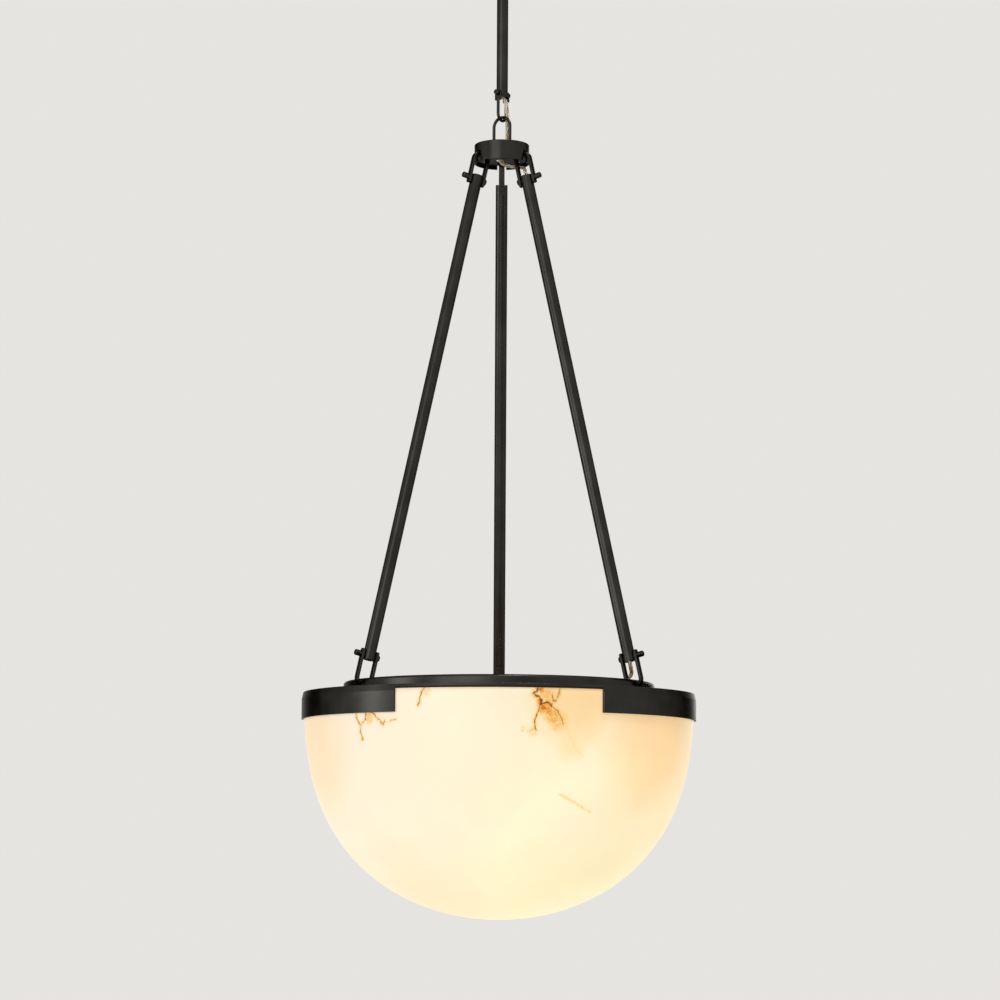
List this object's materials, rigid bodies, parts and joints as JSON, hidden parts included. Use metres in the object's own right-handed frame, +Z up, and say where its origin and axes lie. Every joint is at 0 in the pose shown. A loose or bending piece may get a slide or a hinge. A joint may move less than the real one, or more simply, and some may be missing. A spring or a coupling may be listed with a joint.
{
  "type": "pendant light",
  "caption": "Alabaster bowl pendant: stone bowl in a tabbed metal band, hung by straight tube arms from a small hub on a shackle and drop rod.",
  "frame": {"origin": "middle of the mounting crossbar's two slots, in the plane of the ceiling", "axes": "+Z up, -Y towards a viewer in front of the lamp, +X to that viewer's right; the slots lie along X"},
  "size_m": [0.5, 0.4988, 1.4028],
  "materials": {
    "bronze": "satin dark bronze lacquer on steel",
    "alabaster": "translucent stone, satin polish",
    "zinc_steel": "zinc plated",
    "dark_screws": "blackened steel",
    "brass": "bare",
    "chrome": "bright plated",
    "white_metal": "matt white powder coat",
    "black_plastic": "moulded, matt",
    "white_plastic": "moulded, matt",
    "rubber": "matt",
    "cord_jacket": "clear jacket over copper and white cores",
    "lamp_glass": "opal"
  },
  "bodies": {
    "ceiling_mount": {"mounting_crossbar": "zinc_steel", "canopy": "bronze", "canopy_nipple": "zinc_steel", "nipple_locknut": "zinc_steel", "canopy_collar": "bronze", "ceiling_terminal_block": "white_plastic", "earth_screw": "brass", "drop_rod": "bronze", "shackle_screws": "bronze", "supply_cord_rod": "cord_jacket", "supply_cord_link_upper": "cord_jacket"},
    "shackle": {"top_shackle": "bronze", "supply_cord_link_lower": "cord_jacket"},
    "hub": {"hub_bail": "bronze", "bail_nuts": "zinc_steel", "hub_cup": "bronze", "hub_plate": "bronze", "hub_plate_screws": "zinc_steel", "cord_bushing": "chrome", "cord_grommet": "rubber", "supply_cord_hub": "cord_jacket"},
    "bowl_frame": {"outer_band": "bronze", "hanging_ring": "bronze", "ring_screws": "zinc_steel", "rim_gasket": "rubber", "rim_screws": "dark_screws", "alabaster_bowl": "alabaster", "rim_inserts": "brass", "lamp_spider": "white_metal", "spider_screws": "zinc_steel", "lampholders": "black_plastic", "lamps": "lamp_glass", "holder_nipples": "zinc_steel", "holder_nuts": "zinc_steel", "junction_box": "white_metal", "junction_lid": "white_metal", "bowl_terminal_block": "white_plastic", "cord_gland": "black_plastic", "lamp_wires": "cord_jacket", "supply_cord_bowl": "cord_jacket"},
    "upper_strap_right": {"upper_strap_right": "bronze"},
    "arm_right": {"arm_tube_right": "bronze", "arm_ferrules_right": "zinc_steel", "knob_pins_right": "bronze", "button_pins_right": "bronze", "supply_cord_arm": "cord_jacket"},
    "lower_strap_right": {"lower_strap_right": "bronze"},
    "upper_strap_left": {"upper_strap_left": "bronze"},
    "arm_left": {"arm_tube_left": "bronze", "arm_ferrules_left": "zinc_steel", "knob_pins_left": "bronze", "button_pins_left": "bronze"},
    "lower_strap_left": {"lower_strap_left": "bronze"},
    "upper_strap_back": {"upper_strap_back": "bronze"},
    "arm_back": {"arm_tube_back": "bronze", "arm_ferrules_back": "zinc_steel", "knob_pins_back": "bronze", "button_pins_back": "bronze"},
    "lower_strap_back": {"lower_strap_back": "bronze"}
  },
  "joints": [
    {"name": "shackle_swing", "type": "hinge", "parent": "ceiling_mount", "child": "shackle", "pos_m": [0, 0, -0.339], "axis": [0.5736, 0.8192, 0], "range_deg": [-35, 35], "deforming": ["supply_cord_link_upper"]},
    {"name": "hub_swing", "type": "hinge", "parent": "shackle", "child": "hub", "pos_m": [0, 0, -0.3705], "axis": [0.8192, -0.5736, 0], "range_deg": [-35, 35], "deforming": ["supply_cord_link_lower"]},
    {"name": "bowl_twist", "type": "hinge", "parent": "hub", "child": "bowl_frame", "pos_m": [0, 0, -1.119], "axis": [0, 0, 1], "range_deg": [-8, 8]},
    {"name": "upper_strap_right_turn", "type": "hinge", "parent": "hub", "child": "upper_strap_right", "pos_m": [0.02581, -0.0149, -0.423], "axis": [-0.2016, 0.1164, 0.9725], "range_deg": [-4.5, 4.5]},
    {"name": "arm_right_pivot", "type": "hinge", "parent": "upper_strap_right", "child": "arm_right", "pos_m": [0.03276, -0.01892, -0.45655], "axis": [0.8422, -0.4863, 0.2328], "range_deg": [-2.6, 2.6]},
    {"name": "lower_strap_right_pivot", "type": "hinge", "parent": "arm_right", "child": "lower_strap_right", "pos_m": [0.16146, -0.09322, -1.07747], "axis": [0.8422, -0.4863, 0.2328], "range_deg": [-2.6, 2.6]},
    {"name": "upper_strap_left_turn", "type": "hinge", "parent": "hub", "child": "upper_strap_left", "pos_m": [-0.02581, -0.0149, -0.423], "axis": [0.2016, 0.1164, 0.9725], "range_deg": [-4.5, 4.5]},
    {"name": "arm_left_pivot", "type": "hinge", "parent": "upper_strap_left", "child": "arm_left", "pos_m": [-0.03276, -0.01892, -0.45655], "axis": [-0.8422, -0.4863, 0.2328], "range_deg": [-2.6, 2.6]},
    {"name": "lower_strap_left_pivot", "type": "hinge", "parent": "arm_left", "child": "lower_strap_left", "pos_m": [-0.16146, -0.09322, -1.07747], "axis": [-0.8422, -0.4863, 0.2328], "range_deg": [-2.6, 2.6]},
    {"name": "upper_strap_back_turn", "type": "hinge", "parent": "hub", "child": "upper_strap_back", "pos_m": [0, 0.0298, -0.423], "axis": [0, -0.2328, 0.9725], "range_deg": [-4.5, 4.5]},
    {"name": "arm_back_pivot", "type": "hinge", "parent": "upper_strap_back", "child": "arm_back", "pos_m": [0, 0.03783, -0.45655], "axis": [0, 0.9725, 0.2328], "range_deg": [-2.6, 2.6]},
    {"name": "lower_strap_back_pivot", "type": "hinge", "parent": "arm_back", "child": "lower_strap_back", "pos_m": [0, 0.18644, -1.07747], "axis": [0, 0.9725, 0.2328], "range_deg": [-2.6, 2.6]}
  ],
  "couplings": [
    {"joint": "upper_strap_right_turn", "follows": "bowl_twist", "ratio": 0.5},
    {"joint": "arm_right_pivot", "follows": "bowl_twist", "ratio": 0.30495},
    {"joint": "lower_strap_right_pivot", "follows": "bowl_twist", "ratio": -0.30495},
    {"joint": "upper_strap_left_turn", "follows": "bowl_twist", "ratio": 0.5},
    {"joint": "arm_left_pivot", "follows": "bowl_twist", "ratio": 0.30495},
    {"joint": "lower_strap_left_pivot", "follows": "bowl_twist", "ratio": -0.30495},
    {"joint": "upper_strap_back_turn", "follows": "bowl_twist", "ratio": 0.5},
    {"joint": "arm_back_pivot", "follows": "bowl_twist", "ratio": 0.30495},
    {"joint": "lower_strap_back_pivot", "follows": "bowl_twist", "ratio": -0.30495}
  ]
}
